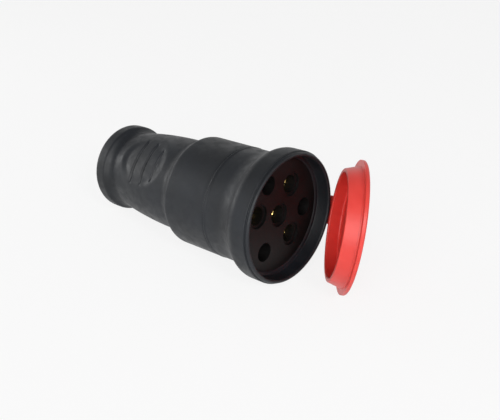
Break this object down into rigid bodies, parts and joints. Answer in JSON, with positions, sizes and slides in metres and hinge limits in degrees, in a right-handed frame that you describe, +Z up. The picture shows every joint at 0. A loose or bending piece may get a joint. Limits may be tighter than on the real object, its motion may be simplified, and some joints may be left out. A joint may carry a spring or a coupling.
{
  "type": "inline socket connector",
  "caption": "Rubber inline power socket connector with round contact wells in a deep mouth, ribbed finger grips and a hinged cap that stands open.",
  "frame": {"origin": "the middle of the connector's footprint, on the surface that it lies on", "axes": "+X is the way the mouth faces, tipped up by its rest on the collar and the shoulder; +Y is the side that the cap hangs on; +Z is up"},
  "size_m": [0.1712, 0.0788, 0.0685],
  "materials": {
    "shell_rubber": "satin moulded rubber",
    "insert_moulding": "compression-moulded phenolic, satin",
    "contact_brass": "turned brass",
    "spring_steel": "rolled spring steel",
    "screw_steel": "zinc-plated steel",
    "clamp_steel": "zinc-plated pressed steel",
    "cap_plastic": "flexible moulded plastic, satin"
  },
  "bodies": {
    "root": {"cap_strap": "cap_plastic", "clamp_screw_lower": "screw_steel", "clamp_screw_upper": "screw_steel", "contact_carrier": "insert_moulding", "contact_sleeve_centre": "contact_brass", "contact_sleeve_low": "contact_brass", "contact_sleeve_near": "contact_brass", "contact_sleeve_top": "contact_brass", "cord_clamp_frame": "clamp_steel", "cord_clamp_saddle": "clamp_steel", "front_shell": "shell_rubber", "insert_screw_1": "screw_steel", "insert_screw_2": "screw_steel", "insert_screw_3": "screw_steel", "rear_handle": "shell_rubber", "sleeve_spring_centre": "spring_steel", "sleeve_spring_low": "spring_steel", "sleeve_spring_near": "spring_steel", "sleeve_spring_top": "spring_steel", "socket_insert": "insert_moulding", "strap_screw_lower": "screw_steel", "strap_screw_upper": "screw_steel", "terminal_screw_centre": "screw_steel", "terminal_screw_low": "screw_steel", "terminal_screw_near": "screw_steel", "terminal_screw_top": "screw_steel"},
    "cap": {"cap": "cap_plastic"}
  },
  "joints": [
    {"name": "cap_hinge", "type": "hinge", "parent": "root", "child": "cap", "pos_m": [0.03213, 0.03295, 0.02132], "axis": [-0.1227, 0.3132, 0.9417], "range_deg": [-39.6, 49]}
  ]
}
